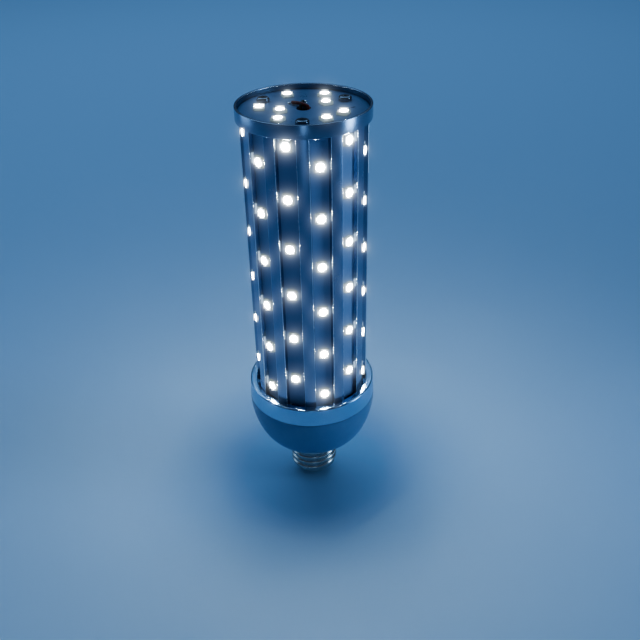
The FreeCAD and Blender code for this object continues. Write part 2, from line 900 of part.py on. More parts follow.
def centre_contact():
    """The contact at the cap's end: a plate in the insulator's seat, with a low dome below."""
    rim_z = insulator_tip_z - contact_proud
    sphere_radius = (contact_radius ** 2 + contact_dome ** 2) / (2 * contact_dome)
    half_radius = contact_radius / 2
    drop = math.sqrt(sphere_radius ** 2 - half_radius ** 2) - (sphere_radius - contact_dome)
    lowest = vector(0, 0, rim_z - contact_dome)
    edge = vector(contact_radius, 0, rim_z)
    dome = flats_of_arc(lowest, vector(half_radius, 0, rim_z - drop), edge, dome_flats)
    outline = [(point.x, point.z) for point in dome]
    return turned_part(outline + [(contact_radius, contact_top_z), (0, contact_top_z)])


def disc_screws():
    """The three screws that hold the disc and the ring down on the heat sink."""
    return screw_set(disc_top_z, False)


def collar_screws():
    """The three screws that hold the collar's flange to the foot of the heat sink."""
    return screw_set(flange_bottom_z, True)


single_parts = {
    "heat_sink": heat_sink,
    "top_ring": top_ring,
    "disc_board": disc_board,
    "disc_leds": disc_leds,
    "disc_screws": disc_screws,
    "disc_lead_red": disc_lead_red,
    "disc_lead_black": disc_lead_black,
    "disc_solder": disc_solder,
    "bottom_collar": bottom_collar,
    "collar_screws": collar_screws,
    "bowl_housing": bowl_housing,
    "top_jumpers": top_jumpers,
    "foot_jumpers": foot_jumpers,
    "strip_lead_red": strip_lead_red,
    "strip_lead_black": strip_lead_black,
    "screw_cap_shell": screw_cap_shell,
    "cap_insulator": cap_insulator,
    "centre_contact": centre_contact,
    "live_lead": live_lead,
    "neutral_lead": neutral_lead,
    "driver_sleeve": driver_sleeve,
    "driver_board": driver_board,
    "driver_fuse": driver_fuse,
    "driver_film_capacitor": driver_film_capacitor,
    "driver_choke": driver_choke,
    "driver_capacitor": driver_capacitor,
    "driver_transformer_core": driver_transformer_core,
    "driver_transformer_winding": driver_transformer_winding,
    "driver_rectifier": driver_rectifier,
    "driver_controller": driver_controller,
}


def write_part(name, shape):
    """Write one part's STEP file."""
    shape.exportStep("parts/" + name + ".step")
    print(name, "valid", shape.isValid(), "solids", len(shape.Solids), "mm3", round(shape.Volume, 1))


for name, make in single_parts.items():
    write_part(name, make())

for index in range(strip_count):
    number = str(index + 1).zfill(2)
    write_part("led_strip_" + number, led_strip(index))
    write_part("strip_leds_" + number, strip_leds(index))
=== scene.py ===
import math

import bmesh
import bpy
from mathutils import Matrix, Vector


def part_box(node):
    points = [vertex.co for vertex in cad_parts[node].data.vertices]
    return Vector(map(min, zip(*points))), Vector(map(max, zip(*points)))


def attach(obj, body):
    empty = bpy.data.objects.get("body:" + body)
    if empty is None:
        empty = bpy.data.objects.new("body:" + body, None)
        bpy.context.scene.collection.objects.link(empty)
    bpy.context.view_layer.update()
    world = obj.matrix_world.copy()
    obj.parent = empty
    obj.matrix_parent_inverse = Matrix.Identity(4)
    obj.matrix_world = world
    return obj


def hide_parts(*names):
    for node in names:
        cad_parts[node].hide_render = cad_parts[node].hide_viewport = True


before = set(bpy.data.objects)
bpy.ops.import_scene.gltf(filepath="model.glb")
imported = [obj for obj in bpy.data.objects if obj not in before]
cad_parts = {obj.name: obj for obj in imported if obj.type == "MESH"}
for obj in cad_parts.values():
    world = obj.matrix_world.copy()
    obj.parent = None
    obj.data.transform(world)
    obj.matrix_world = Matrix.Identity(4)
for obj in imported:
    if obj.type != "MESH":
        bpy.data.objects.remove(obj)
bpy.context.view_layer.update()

MM = 0.001
AXIS = Vector((0, 0, 1))
CENTRE = Vector((0, 0, 0))

# Sizes that the frame gives, in metres
ring_low, ring_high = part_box("top_ring")
collar_low, collar_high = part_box("bottom_collar")
bowl_low, bowl_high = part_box("bowl_housing")
disc_low, disc_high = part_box("disc_board")
strip_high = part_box("led_strip_01")[1]
contact_low, contact_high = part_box("centre_contact")

# Flats and smoothness: turned pieces, their eased corners, and the angles under which edges look smooth
STEPS_ROUND = 240
EASE_STEPS = 6
SMOOTH_UNDER = math.radians(32)
SMOOTH_MERGED = math.radians(50)
SMOOTH_SOLDER = math.radians(60)
DOUBLES = 0.002 * MM
DOUBLES_OF_COPY = 0.001 * MM

# Where an edge or a face counts as lying at a piece's end, and as facing a way
AT_END = 0.99
NEAR_END = 0.9
FACING = 0.9

# Strips
STRIP_COUNT = 12
STRIP_NUMBERS = [str(index + 1).zfill(2) for index in range(STRIP_COUNT)]
LEDS_PER_STRIP = 6
STEP_ANGLE = 2 * math.pi / STRIP_COUNT

# Ring
RING_LIP = 1.2 * MM
RING_EASE = 0.3 * MM
RING_FOOT_EASE = 0.5 * MM
RING_SKIRT = 1.55 * MM
RING_SKIRT_EASE = 0.15 * MM
SHELF_BORE = 26.75 * MM
SHELF_BOTTOM = 5.0 * MM

# Body: the rounding of its edges, and the outer edges of the lips, which carry a painted highlight
BODY_EDGE = 0.15 * MM
BODY_EDGE_STEPS = 2
BODY_EDGE_OVER = math.radians(30)
BODY_FLAT_UNDER = math.radians(0.5)
LIP_HIGHLIGHT_BAND = 0.6 * MM
LIP_HIGHLIGHT_SLANT = 0.97

# Collar
COLLAR_EASE = 0.9 * MM
SEAM_EASE = 0.35 * MM
SOCKET_EASE = 0.3 * MM
SOCKET_RADIUS = 29.95 * MM
SOCKET_DEPTH = 5.5 * MM
FLANGE_BORE = 18.7 * MM
FLANGE_THICKNESS = 1.5 * MM
COLLAR_WALL = 1.4 * MM
LEDGE_RADIUS = 33.6 * MM

# Bowl
BOWL_STEPS = 40
BOWL_WALL = 2.0 * MM
NECK_RADIUS = 14.8 * MM
NECK_BORE = 9.75 * MM
SPIGOT_RADIUS = 11.65 * MM
SNAP_WALL = 1.1 * MM
SNAP_GAP = 0.1 * MM

# Centre contact
DOME_HEIGHT = 0.9 * MM
DOME_STEPS = 12
CONTACT_STEPS_ROUND = 64

# LED packages
LED_SIZE = 5.0 * MM
LED_HEIGHT = 1.6 * MM
LED_CORNER_CUT = 0.7 * MM
LED_EDGE = 0.12 * MM
LED_EDGE_STEPS = 2
LED_WINDOW = 2.0 * MM
LED_WINDOW_FLARE = 0.06
LED_WINDOW_STEPS_ROUND = 28
LED_RECESS = 0.12 * MM
LED_LEAD = (0.95 * MM, 0.22 * MM, 0.45 * MM)
LED_LEAD_SPACING = 1.6 * MM
DISC_OUTER_RADIUS = 20.2 * MM
DISC_OUTER_ANGLES = (47, 99, 166, 223, 286, 318)
DISC_INNER_RADIUS = 11.6 * MM
DISC_INNER_ANGLES = (14, 191)

# Disc
DISC_LOWER_EASE = 0.1 * MM
DISC_UPPER_EASE = 0.15 * MM
DISC_EASE_STEPS = 3
DISC_HOLE = 3.4 * MM
SCREW_HOLE = 1.7 * MM
HOLE_STEPS_ROUND = 40
DISC_SLOT = (2.6 * MM, 0.9 * MM, 0.5 * MM)
DISC_SLOT_PLACE = (22.4 * MM, math.radians(344.8))
DISC_SLOT_TURN = 0.35

# The disc's leads and their solder: points in millimetres, with heights over the disc's face
WIRE_RADIUS = 0.8 * MM
CONDUCTOR_RADIUS = 0.3 * MM
WIRE_ROUNDNESS = 4
WIRE_STEPS = 10
RED_LEAD = [(2.0, -0.9, -12), (2.1, -1.0, -1.4), (1.9, -0.4, 0.5), (0.3, 1.9, 1.15), (-1.9, 4.7, 1.2),
            (-3.7, 6.9, 0.95)]
RED_END = [(-3.6, 6.8, 0.95), (-4.4, 7.8, 0.7), (-5.0, 8.7, 0.35)]
RED_SOLDER = (-4.9, 8.6, 0)
RED_SOLDER_SIZE = (1.0 * MM, 0.7 * MM)
BLACK_LEAD = [(-1.3, 1.2, -12), (-1.3, 1.3, -1.4), (-0.7, 2.3, 0.7), (0.5, 4.2, 1.5), (1.5, 5.8, 1.0)]
BLACK_END = [(1.4, 5.6, 1.0), (2.0, 6.6, 0.8), (2.4, 7.5, 0.4)]
BLACK_SOLDER = (2.4, 7.4, 0)
BLACK_SOLDER_SIZE = (1.3 * MM, 1.3 * MM)
SOLDER_STEPS_ROUND = 28
SOLDER_STEPS_UP = 16
SOLDER_SWELL = 0.10
SOLDER_WAVES = (3, 2.5)
SOLDER_PHASE = 1.3
SOLDER_BELOW = 0.2

# Screws: the tip's length is a share of its radius, and a cross's turn is a share of its place's angle
SCREW_CIRCLE = 22.0 * MM
SCREW_ANGLES = (15, 135, 255)
SCREW_HEAD_RADIUS = 3.1 * MM
SCREW_HEAD_HEIGHT = 2.1 * MM
SCREW_LOWER_EASE = 0.12 * MM
SCREW_UPPER_EASE = 1.05 * MM
SCREW_EASE_STEPS = 8
SCREW_STEPS_ROUND = 48
SCREW_SHANK_RADIUS = 1.5 * MM
SCREW_TIP = 1.2
SCREW_LENGTH = 10.0 * MM
SCREW_TURN = 1.7

# The cross in a screw's head: two tapered cutters, narrow below and wide above
CROSS_TIP = 0.25 * MM
CROSS_MOUTH = 1.0 * MM
CROSS_HEIGHT = 2.4 * MM
CROSS_SINK = 0.1 * MM
CROSS_STRETCH = (2.5, 0.62, 1)

# Finishes: an LED's in the order of its material slots, a second finish's slot, the LEDs' glow, and the
# painted glow on the sides of their housings
HOUSING, WINDOW, LEADS, SIDE = range(4)
SECOND = 1
LED_GLOW = 170.0
SIDE_GLOW = (0.92, 1.0, 0.90)
SIDE_GLOW_SEEN = 0.12
SIDE_GLOW_THROWN = 1.2

# Patterns: how broad and fine blotches mix, and the scale of grain in a metre
FINE_TIMES = 9.0
BROAD_SHARE = 0.65
FINE_SHARE = 0.35
NOISE_ROUGHNESS = 0.55
DIE_LINE_STRETCH = 0.004
GRAIN_SCALE = 2500.0

# The floor and the lights, in metres and watts
FLOOR_SIZE = 8
FLOOR_GAP = 0.3 * MM
FLOOR_COLOUR = (0.46, 0.66, 0.90, 1)
FLOOR_ROUGHNESS = 0.7
COOL = (0.45, 0.71, 1.0)
OVERHEAD_PLACE = (0.1, 1.1, 1.6)
OVERHEAD_AIM = (0.05, 0.75, 0.0)
OVERHEAD_SIZE = (2.4, 1.4)
OVERHEAD_POWER = 12.0
STRIP_LIGHT_SPREAD = math.radians(90)
STRIP_LIGHTS = [
    # name, direction in degrees, distance, width, height, power
    ("right_strip", 335, 0.50, 0.12, 0.5, 0.29),
    ("left_strip", 150, 0.60, 0.28, 0.6, 0.12),
    ("front_strip", 256, 0.50, 0.06, 0.3, 0.016),
]
WORLD_COLOUR = (0.40, 0.60, 0.92, 1)
WORLD_STRENGTH = 0.13

# The camera, as the photograph was taken, and the halo round what is lit
CAMERA_PLACE = Vector((-81.02, -347.98, 302.13)) * MM
CAMERA_TURN = [math.radians(angle) for angle in (57.616, 1.100, -14.647)]
CAMERA_LENS = 44.98
CAMERA_SENSOR = 36
CAMERA_NEAREST = 0.01
HALO = {
    "Threshold": 3.0,
    "Clamp": True,
    "Maximum": 40.0,
    "Strength": 0.24,
    "Tint": (0.80, 0.88, 1.0, 1),
    "Size": 0.03,
}


def only(piece):
    """Leaves one piece selected, and makes it the active one."""
    bpy.ops.object.select_all(action="DESELECT")
    piece.select_set(True)
    bpy.context.view_layer.objects.active = piece


def start(name):
    """Names the primitive that was just added, and opens it for editing."""
    piece = bpy.context.object
    piece.name = name
    piece.data.name = name
    only(piece)
    bpy.ops.object.mode_set(mode="EDIT")
    bpy.ops.mesh.select_mode(type="VERT")
    return piece


def pick_edges(piece, wanted):
    """Selects, in edit mode, only the edges whose middle is wanted."""
    bpy.ops.mesh.select_all(action="DESELECT")
    bpy.ops.mesh.select_mode(type="EDGE")
    mesh = bmesh.from_edit_mesh(piece.data)
    for edge in mesh.edges:
        if wanted((edge.verts[0].co + edge.verts[1].co) / 2):
            edge.select_set(True)
    mesh.select_flush_mode()
    bmesh.update_edit_mesh(piece.data)


def close_up():
    """Merges doubled vertices and turns every face outwards, in edit mode."""
    bpy.ops.mesh.select_all(action="SELECT")
    bpy.ops.mesh.remove_doubles(threshold=DOUBLES)
    bpy.ops.mesh.select_all(action="SELECT")
    bpy.ops.mesh.normals_make_consistent(inside=False)


def finish_piece(piece, smooth_under=SMOOTH_UNDER):
    """Leaves edit mode, puts the piece's place into its mesh and shades it smooth."""
    bpy.ops.object.mode_set(mode="OBJECT")
    only(piece)
    bpy.ops.object.transform_apply(location=True, rotation=True, scale=True)
    bpy.ops.object.shade_smooth_by_angle(angle=smooth_under)
    return piece


def around(radius, angle, height=0.0):
    """The point at a radius and an angle round the axis, at a height."""
    return Vector((radius * math.cos(angle), radius * math.sin(angle), height))


def eased(outline, arc_steps=EASE_STEPS):
    """The points of an outline of (radius, height, easing), with each eased corner as an arc."""
    points = []
    count = len(outline)
    for index, (x, z, ease) in enumerate(outline):
        corner = Vector((x, z))
        if not ease:
            points.append(corner)
            continue
        before = Vector(outline[index - 1][:2]) - corner
        after = Vector(outline[(index + 1) % count][:2]) - corner
        half = before.angle(after) / 2
        reach = ease / math.tan(half)
        first = corner + before.normalized() * reach
        last = corner + after.normalized() * reach
        middle = corner + (before.normalized() + after.normalized()).normalized() * (ease / math.sin(half))
        turn = (first - middle).angle_signed(last - middle)
        for step in range(arc_steps + 1):
            swept = (first - middle).copy()
            swept.rotate(Matrix.Rotation(-turn * step / arc_steps, 2))
            points.append(middle + swept)
    return points


def turned(name, points, closed=True, steps=STEPS_ROUND):
    """A turned piece: one point is drawn out along an outline, which is then spun about the axis."""
    bpy.ops.object.select_all(action="DESELECT")
    bpy.ops.mesh.primitive_plane_add(size=MM)
    piece = start(name)
    bpy.ops.mesh.select_all(action="SELECT")
    bpy.ops.mesh.merge(type="CENTER")
    place = Vector((points[0][0], 0, points[0][1]))
    bpy.ops.transform.translate(value=place)
    route = list(points[1:]) + ([points[0]] if closed else [])
    for x, z in route:
        following = Vector((x, 0, z))
        bpy.ops.mesh.extrude_vertices_move(TRANSFORM_OT_translate={"value": following - place})
        place = following
    bpy.ops.mesh.select_all(action="SELECT")
    bpy.ops.mesh.spin(steps=steps, angle=2 * math.pi, center=CENTRE, axis=AXIS)
    close_up()
    return finish_piece(piece)


def merged_copy(name, node):
    """A copy of a CAD node with its triangles merged, so that it can be shaded smooth."""
    piece = bpy.data.objects.new(name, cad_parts[node].data.copy())
    piece.data.name = name
    bpy.context.scene.collection.objects.link(piece)
    only(piece)
    bpy.ops.mesh.customdata_custom_splitnormals_clear()
    bpy.ops.object.mode_set(mode="EDIT")
    bpy.ops.mesh.select_all(action="SELECT")
    bpy.ops.mesh.remove_doubles(threshold=DOUBLES_OF_COPY)
    return finish_piece(piece, SMOOTH_MERGED)


def stand_for(piece, slot, *nodes):
    """Puts a finished piece in the place of its CAD nodes."""
    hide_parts(*nodes)
    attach(piece, "root")
    return piece


# Materials


def group_socket(tree, name, kind, output=False, value=None):
    """Adds one named input or output to a node group."""
    side = "OUTPUT" if output else "INPUT"
    socket = tree.interface.new_socket(name=name, in_out=side, socket_type=kind)
    if value is not None:
        socket.default_value = value


def add(tree, kind, **settings):
    """Adds a node and sets its properties."""
    node = tree.nodes.new(kind)
    for name, value in settings.items():
        setattr(node, name, value)
    return node


def math_node(tree, operation, first, second=None):
    """Adds a Math node with linked or plain inputs, and returns its output."""
    node = add(tree, "ShaderNodeMath", operation=operation)
    for index, value in enumerate((first, second)):
        if value is None:
            continue
        if isinstance(value, (int, float)):
            node.inputs[index].default_value = value
        else:
            tree.links.new(value, node.inputs[index])
    return node.outputs[0]


def noise(tree, coordinates, scale, detail):
    """Adds a noise pattern and returns its value."""
    node = add(tree, "ShaderNodeTexNoise")
    tree.links.new(coordinates, node.inputs["Vector"])
    if isinstance(scale, (int, float)):
        node.inputs["Scale"].default_value = scale
    else:
        tree.links.new(scale, node.inputs["Scale"])
    node.inputs["Detail"].default_value = detail
    node.inputs["Roughness"].default_value = NOISE_ROUGHNESS
    return node.outputs["Fac"]


def remap(tree, value, low, high, from_low=0.3, from_high=0.7):
    """Maps a pattern's usual span to another span. The ends may be numbers or sockets."""
    node = add(tree, "ShaderNodeMapRange")
    node.inputs["From Min"].default_value = from_low
    node.inputs["From Max"].default_value = from_high
    tree.links.new(value, node.inputs["Value"])
    for name, end in (("To Min", low), ("To Max", high)):
        if isinstance(end, (int, float)):
            node.inputs[name].default_value = end
        else:
            tree.links.new(end, node.inputs[name])
    return node.outputs["Result"]


def mottle_group():
    """Soft blotches: a colour that drifts between two tones, and a roughness that drifts with it."""
    tree = bpy.data.node_groups.new("mottle", "ShaderNodeTree")
    group_socket(tree, "Tone", "NodeSocketColor")
    group_socket(tree, "Other Tone", "NodeSocketColor")
    group_socket(tree, "Scale", "NodeSocketFloat", value=60.0)
    group_socket(tree, "Roughness Low", "NodeSocketFloat", value=0.3)
    group_socket(tree, "Roughness High", "NodeSocketFloat", value=0.4)
    group_socket(tree, "Color", "NodeSocketColor", output=True)
    group_socket(tree, "Roughness", "NodeSocketFloat", output=True)
    inside = add(tree, "NodeGroupInput").outputs
    out = add(tree, "NodeGroupOutput")
    place = add(tree, "ShaderNodeTexCoord").outputs["Object"]
    broad = noise(tree, place, inside["Scale"], detail=2.0)
    fine = noise(tree, place, math_node(tree, "MULTIPLY", inside["Scale"], FINE_TIMES), detail=4.0)
    broad = math_node(tree, "MULTIPLY", broad, BROAD_SHARE)
    fine = math_node(tree, "MULTIPLY", fine, FINE_SHARE)
    both = math_node(tree, "ADD", broad, fine)
    spread = remap(tree, both, 0.0, 1.0)
    mixed = add(tree, "ShaderNodeMix", data_type="RGBA")
    tree.links.new(spread, mixed.inputs["Factor"])
    tree.links.new(inside["Tone"], mixed.inputs["A"])
    tree.links.new(inside["Other Tone"], mixed.inputs["B"])
    tree.links.new(mixed.outputs["Result"], out.inputs["Color"])
    rough = remap(tree, spread, inside["Roughness Low"], inside["Roughness High"], 0.0, 1.0)
    tree.links.new(rough, out.inputs["Roughness"])
    return tree


def die_lines_group():
    """The fine straight lines that a die leaves along an extrusion, as a height."""
    tree = bpy.data.node_groups.new("die_lines", "ShaderNodeTree")
    group_socket(tree, "Lines Per Metre", "NodeSocketFloat", value=4000.0)
    group_socket(tree, "Height", "NodeSocketFloat", output=True)
    inside = add(tree, "NodeGroupInput").outputs
    out = add(tree, "NodeGroupOutput")
    place = add(tree, "ShaderNodeTexCoord").outputs["Object"]
    squeeze = add(tree, "ShaderNodeMapping")
    squeeze.inputs["Scale"].default_value = (1, 1, DIE_LINE_STRETCH)
    tree.links.new(place, squeeze.inputs["Vector"])
    lines = noise(tree, squeeze.outputs["Vector"], inside["Lines Per Metre"], detail=2.0)
    tree.links.new(lines, out.inputs["Height"])
    return tree


def turning_lines_group():
    """The fine rings that a lathe tool leaves round the axis, as a height."""
    tree = bpy.data.node_groups.new("turning_lines", "ShaderNodeTree")
    group_socket(tree, "Lines Per Metre", "NodeSocketFloat", value=6000.0)
    group_socket(tree, "Height", "NodeSocketFloat", output=True)
    inside = add(tree, "NodeGroupInput").outputs
    out = add(tree, "NodeGroupOutput")
    place = add(tree, "ShaderNodeSeparateXYZ")
    tree.links.new(add(tree, "ShaderNodeTexCoord").outputs["Object"], place.inputs[0])
    across = math_node(tree, "MULTIPLY", place.outputs["X"], place.outputs["X"])
    along = math_node(tree, "MULTIPLY", place.outputs["Y"], place.outputs["Y"])
    radius = math_node(tree, "SQRT", math_node(tree, "ADD", across, along))
    flat = add(tree, "ShaderNodeCombineXYZ")
    tree.links.new(radius, flat.inputs["X"])
    tree.links.new(place.outputs["Z"], flat.inputs["Y"])
    lines = noise(tree, flat.outputs[0], inside["Lines Per Metre"], detail=2.0)
    tree.links.new(lines, out.inputs["Height"])
    return tree


MOTTLE = mottle_group()
DIE_LINES = die_lines_group()
TURNING_LINES = turning_lines_group()


def bump(tree, height, depth):
    """Adds a Bump node of a depth in millimetres and feeds it to the material's shader."""
    node = add(tree, "ShaderNodeBump")
    node.inputs["Strength"].default_value = 1.0
    node.inputs["Distance"].default_value = depth * MM
    tree.links.new(height, node.inputs["Height"])
    tree.links.new(node.outputs["Normal"], tree.nodes["Principled BSDF"].inputs["Normal"])


def finish_of(name, tone, other_tone, roughness, scale=60.0, metallic=0.0, lines=None, density=0.0,
              relief=0.0, grain=0.0, **shader_values):
    """A material of two close tones that drift, a roughness that drifts, and lines or grain as relief.

    relief and grain are depths in millimetres. shader_values are set on the shader's own sockets."""
    material = bpy.data.materials.new(name)
    material.use_nodes = True
    tree = material.node_tree
    shader = tree.nodes["Principled BSDF"]
    shader.inputs["Metallic"].default_value = metallic
    for socket, value in shader_values.items():
        shader.inputs[socket.replace("_", " ")].default_value = value
    drift = add(tree, "ShaderNodeGroup", node_tree=MOTTLE)
    drift.inputs["Tone"].default_value = (*tone, 1)
    drift.inputs["Other Tone"].default_value = (*other_tone, 1)
    drift.inputs["Scale"].default_value = scale
    drift.inputs["Roughness Low"].default_value = roughness[0]
    drift.inputs["Roughness High"].default_value = roughness[1]
    tree.links.new(drift.outputs["Color"], shader.inputs["Base Color"])
    tree.links.new(drift.outputs["Roughness"], shader.inputs["Roughness"])
    if lines is not None:
        pattern = add(tree, "ShaderNodeGroup", node_tree=lines)
        pattern.inputs["Lines Per Metre"].default_value = density
        bump(tree, pattern.outputs["Height"], relief)
    elif grain:
        place = add(tree, "ShaderNodeTexCoord").outputs["Object"]
        bump(tree, noise(tree, place, GRAIN_SCALE, detail=3.0), grain)
    return material


# Painted shade and painted reflection: the aluminium is given a dark blue tone for its shade and the blue
# surroundings it reflects
EXTRUSION = finish_of("satin_extrusion_painted_shade_and_reflection", (0.31, 0.38, 0.52), (0.36, 0.43, 0.57), (0.20, 0.28), metallic=1.0,
                      lines=DIE_LINES, density=3500.0, relief=0.004)
# Painted highlight: the extrusion's own metal in a much paler tone, put on the outer edges of the lips
LIP = finish_of("lip_painted_highlight", (0.84, 0.88, 0.92), (0.90, 0.94, 0.97), (0.24, 0.30), metallic=1.0,
                lines=DIE_LINES, density=3500.0, relief=0.0015)
# Painted shade and painted reflection: the ring's aluminium is given a dark blue-grey tone for the dark
# surroundings it reflects
RING = finish_of("turned_ring_painted_shade_and_reflection", (0.34, 0.40, 0.51), (0.40, 0.46, 0.57), (0.18, 0.26), metallic=1.0,
                 lines=TURNING_LINES, density=6000.0, relief=0.003)
# The ring's inner wall: a darker tone that is painted shade of the recess, with a rougher turned finish
RING_INSIDE_PAINTED_SHADE = finish_of("ring_inside_painted_shade", (0.20, 0.26, 0.36), (0.25, 0.31, 0.41), (0.34, 0.44), metallic=1.0,
                        lines=TURNING_LINES, density=3000.0, relief=0.004)
# Painted reflection: the collar's aluminium is given a blue tone for the blue surroundings it reflects
COLLAR = finish_of("polished_collar_painted_reflection", (0.38, 0.54, 0.74), (0.44, 0.60, 0.80), (0.20, 0.28), metallic=1.0,
                   lines=TURNING_LINES, density=5000.0, relief=0.002)
# Painted shade: the strips' mask is white, given here a dim blue-grey tone as in shade under blue light
STRIP_MASK_PAINTED_SHADE = finish_of("strip_mask", (0.33, 0.43, 0.63), (0.37, 0.47, 0.67), (0.30, 0.42), scale=90.0,
                       grain=0.01, Specular_IOR_Level=0.12)
# Painted shade: the disc's mask is white, given here a dark blue tone as in shade under blue light
DISC_MASK_PAINTED_SHADE = finish_of("disc_mask", (0.16, 0.27, 0.45), (0.20, 0.31, 0.50), (0.26, 0.38), scale=90.0,
                      grain=0.01)
# Painted shade: the bowl is pale plastic, given here the dark blue tone it has in shade under blue light
BOWL = finish_of("moulded_bowl_painted_shade", (0.17, 0.29, 0.48), (0.21, 0.33, 0.52), (0.28, 0.38), scale=40.0,
                 grain=0.008)
# The housing is white plastic: its blue-grey tone is painted shade, and its faint green emission a painted
# glow
LED_BODY_PAINTED_SHADE_AND_GLOW = finish_of("led_housing", (0.46, 0.53, 0.56), (0.52, 0.59, 0.62), (0.3, 0.4), scale=400.0,
                     Emission_Color=(0.80, 1.0, 0.76, 1), Emission_Strength=0.09)
# The housing's sides: the housing's shaded tone, with a painted glow added below that lights the lips beside
# them
LED_SIDE_PAINTED_GLOW = finish_of("led_housing_side_painted_glow", (0.46, 0.53, 0.56), (0.52, 0.59, 0.62), (0.3, 0.4), scale=400.0)
TIN = finish_of("tinned_lead", (0.72, 0.72, 0.70), (0.8, 0.8, 0.78), (0.2, 0.35), scale=500.0, metallic=1.0)
STEEL = finish_of("plated_screw", (0.22, 0.25, 0.30), (0.28, 0.31, 0.36), (0.12, 0.22), scale=300.0,
                  metallic=1.0)
SOLDER = finish_of("bright_solder", (0.7, 0.71, 0.73), (0.8, 0.8, 0.82), (0.08, 0.2), scale=500.0,
                   metallic=1.0)
RED = finish_of("red_insulation", (0.20, 0.012, 0.01), (0.27, 0.018, 0.012), (0.3, 0.42), scale=300.0)
BLACK = finish_of("black_insulation", (0.012, 0.012, 0.014), (0.03, 0.03, 0.035), (0.3, 0.45), scale=300.0)
WHITE = finish_of("white_insulation", (0.7, 0.7, 0.68), (0.78, 0.78, 0.76), (0.35, 0.45), scale=300.0)
NICKEL = finish_of("nickel_cap", (0.62, 0.60, 0.56), (0.70, 0.68, 0.63), (0.18, 0.30), scale=120.0,
                   metallic=1.0, lines=TURNING_LINES, density=4000.0, relief=0.003)
CONTACT = finish_of("plated_contact", (0.66, 0.64, 0.60), (0.74, 0.72, 0.68), (0.2, 0.32), scale=250.0,
                    metallic=1.0)
DARK_GLASS = finish_of("dark_insulator", (0.012, 0.012, 0.014), (0.03, 0.028, 0.032), (0.12, 0.22),
                       scale=150.0)
SLEEVE = finish_of("sleeve", (0.78, 0.78, 0.74), (0.84, 0.84, 0.80), (0.4, 0.5), scale=50.0)
GREEN_MASK = finish_of("driver_mask", (0.03, 0.16, 0.06), (0.05, 0.21, 0.08), (0.3, 0.42), scale=120.0)
LACQUER = finish_of("fuse_lacquer", (0.16, 0.28, 0.18), (0.2, 0.33, 0.22), (0.25, 0.4), scale=300.0)
YELLOW_BOX = finish_of("box_capacitor", (0.62, 0.42, 0.05), (0.68, 0.48, 0.07), (0.3, 0.42), scale=150.0)
FERRITE = finish_of("ferrite", (0.05, 0.05, 0.055), (0.08, 0.08, 0.085), (0.5, 0.65), scale=300.0, grain=0.03)
CAN_SLEEVE = finish_of("capacitor_sleeve", (0.02, 0.025, 0.09), (0.03, 0.035, 0.12), (0.25, 0.35),
                       scale=120.0)
TAPE = finish_of("winding_tape", (0.68, 0.5, 0.06), (0.75, 0.56, 0.09), (0.35, 0.5), scale=120.0)
CHIP = finish_of("chip_package", (0.02, 0.02, 0.022), (0.035, 0.035, 0.037), (0.45, 0.6), scale=300.0,
                 grain=0.02)


def phosphor(strength):
    """The lit window of an LED: a pale gel whose glow drifts a little."""
    material = bpy.data.materials.new("lit_phosphor")
    material.use_nodes = True
    tree = material.node_tree
    shader = tree.nodes["Principled BSDF"]
    drift = add(tree, "ShaderNodeGroup", node_tree=MOTTLE)
    drift.inputs["Tone"].default_value = (1.0, 0.95, 0.82, 1)
    drift.inputs["Other Tone"].default_value = (1.0, 0.97, 0.88, 1)
    drift.inputs["Scale"].default_value = 900.0
    drift.inputs["Roughness Low"].default_value = 0.25
    drift.inputs["Roughness High"].default_value = 0.4
    tree.links.new(drift.outputs["Color"], shader.inputs["Base Color"])
    tree.links.new(drift.outputs["Color"], shader.inputs["Emission Color"])
    tree.links.new(drift.outputs["Roughness"], shader.inputs["Roughness"])
    shader.inputs["Emission Strength"].default_value = strength
    return material


PHOSPHOR = phosphor(LED_GLOW)


def spill(material, colour, seen, thrown):
    """Makes a finish carry a painted glow: faintly where it is seen, more where it lights the metal beside
    it.
    """
    tree = material.node_tree
    shader = tree.nodes["Principled BSDF"]
    glow = add(tree, "ShaderNodeMix", data_type="RGBA")
    glow.inputs["A"].default_value = (*colour, 1)
    glow.inputs["B"].default_value = (*[part * seen / thrown for part in colour], 1)
    tree.links.new(add(tree, "ShaderNodeLightPath").outputs["Is Camera Ray"], glow.inputs["Factor"])
    tree.links.new(glow.outputs["Result"], shader.inputs["Emission Color"])
    shader.inputs["Emission Strength"].default_value = thrown


spill(LED_SIDE_PAINTED_GLOW, SIDE_GLOW, SIDE_GLOW_SEEN, SIDE_GLOW_THROWN)
LED_FINISHES = (LED_BODY_PAINTED_SHADE_AND_GLOW, PHOSPHOR, TIN, LED_SIDE_PAINTED_GLOW)


def give(piece, *materials):
    """Sets a piece's materials."""
    piece.data.materials.clear()
    for material in materials:
        piece.data.materials.append(material)


# Turned pieces


def top_ring():
    """The ring, with eased edges above and below, a shelf under the disc and a skirt."""
    radius = ring_high.x
    inner = radius - RING_LIP
    bottom, top = ring_low.z, ring_high.z
    outline = [
        (radius, bottom, RING_FOOT_EASE),
        (radius, top, RING_EASE),
        (inner, top, RING_EASE),
        (inner, disc_low.z, 0),
        (SHELF_BORE, disc_low.z, 0),
        (SHELF_BORE, top - SHELF_BOTTOM, 0),
        (radius - RING_SKIRT, top - SHELF_BOTTOM, 0),
        (radius - RING_SKIRT, bottom, RING_SKIRT_EASE),
    ]
    piece = turned("ring", eased(outline))
    give(piece, RING, RING_INSIDE_PAINTED_SHADE)
    # The faces of the inner wall, between the lip and the disc, take the darker finish: painted shade
    for face in piece.data.polygons:
        spot = face.center
        if spot.xy.length < inner + RING_LIP / 2 and disc_low.z < spot.z < top - RING_EASE:
            face.material_index = SECOND
    return stand_for(piece, "ring_aluminium", "top_ring")


